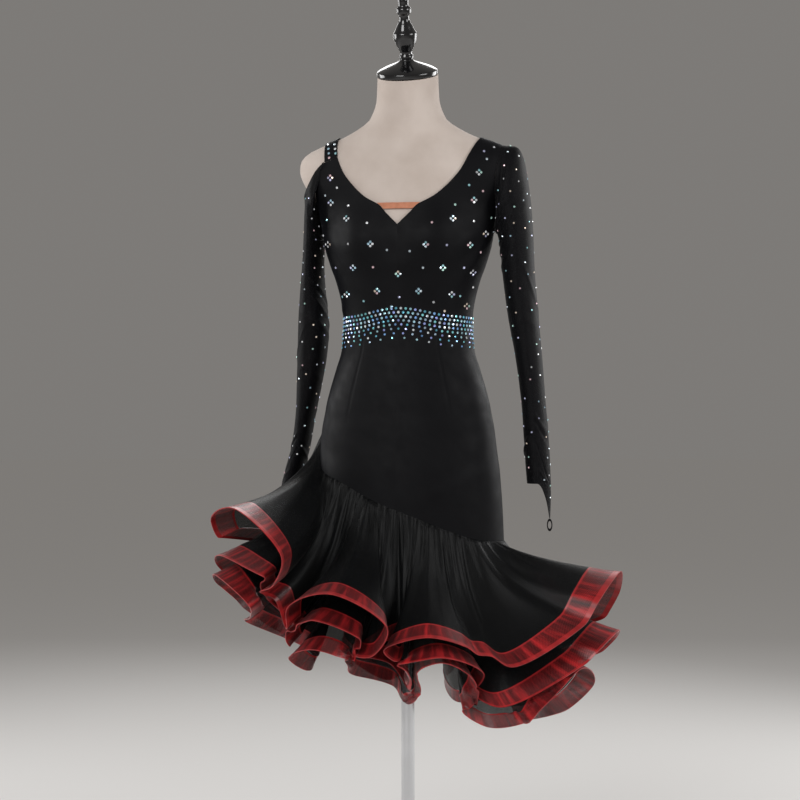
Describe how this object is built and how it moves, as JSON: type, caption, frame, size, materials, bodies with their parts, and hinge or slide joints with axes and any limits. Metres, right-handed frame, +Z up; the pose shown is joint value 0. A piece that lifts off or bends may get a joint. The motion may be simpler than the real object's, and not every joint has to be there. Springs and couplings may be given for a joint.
{
  "type": "ballroom dance dress on a dress form",
  "caption": "Black sheath dance dress with a V neck, mesh sleeves and a slanting skirt of tiered, braid-edged flounces, on a limbless dress form and round stand.",
  "frame": {"origin": "centre of the stand's underside, on the pole's axis, where it rests on the floor", "axes": "+Z up, -Y towards the front of the dress, +X towards the side of the set-in sleeve (right as seen from the front)"},
  "size_m": [0.714, 0.675, 1.6193],
  "materials": {
    "black_jersey": "matt black stretch knit, fine and even, with a soft sheen",
    "black_mesh": "sheer black stretch mesh",
    "black_organza": "crisp sheer black organza, single layer",
    "red_braid": "glossy sheer crimson horsehair braid with dense edges",
    "nude_elastic": "skin-coloured woven elastic",
    "clear_crystal": "foil-backed faceted glass rhinestones, clear with coloured flashes",
    "ivory_linen": "ivory linen covering, fine plain weave",
    "black_lacquer": "turned wood in gloss black lacquer",
    "polished_steel": "polished chromed steel"
  },
  "bodies": {
    "root": {"bodice_front": "black_jersey", "bodice_back": "black_jersey", "shoulder_strap": "black_jersey", "neck_elastic": "nude_elastic", "sleeve_right": "black_mesh", "sleeve_left": "black_mesh", "finger_loop_right": "black_mesh", "finger_loop_left": "black_mesh", "flounce_top_front": "black_organza", "braid_top_front": "red_braid", "flounce_top_back": "black_organza", "braid_top_back": "red_braid", "flounce_middle_front": "black_organza", "braid_middle_front": "red_braid", "flounce_middle_back": "black_organza", "braid_middle_back": "red_braid", "flounce_bottom_front": "black_organza", "braid_bottom_front": "red_braid", "flounce_bottom_back": "black_organza", "braid_bottom_back": "red_braid", "form_torso": "ivory_linen", "neck_cap": "black_lacquer", "pole": "polished_steel", "base_plate": "polished_steel"}
  },
  "joints": []
}
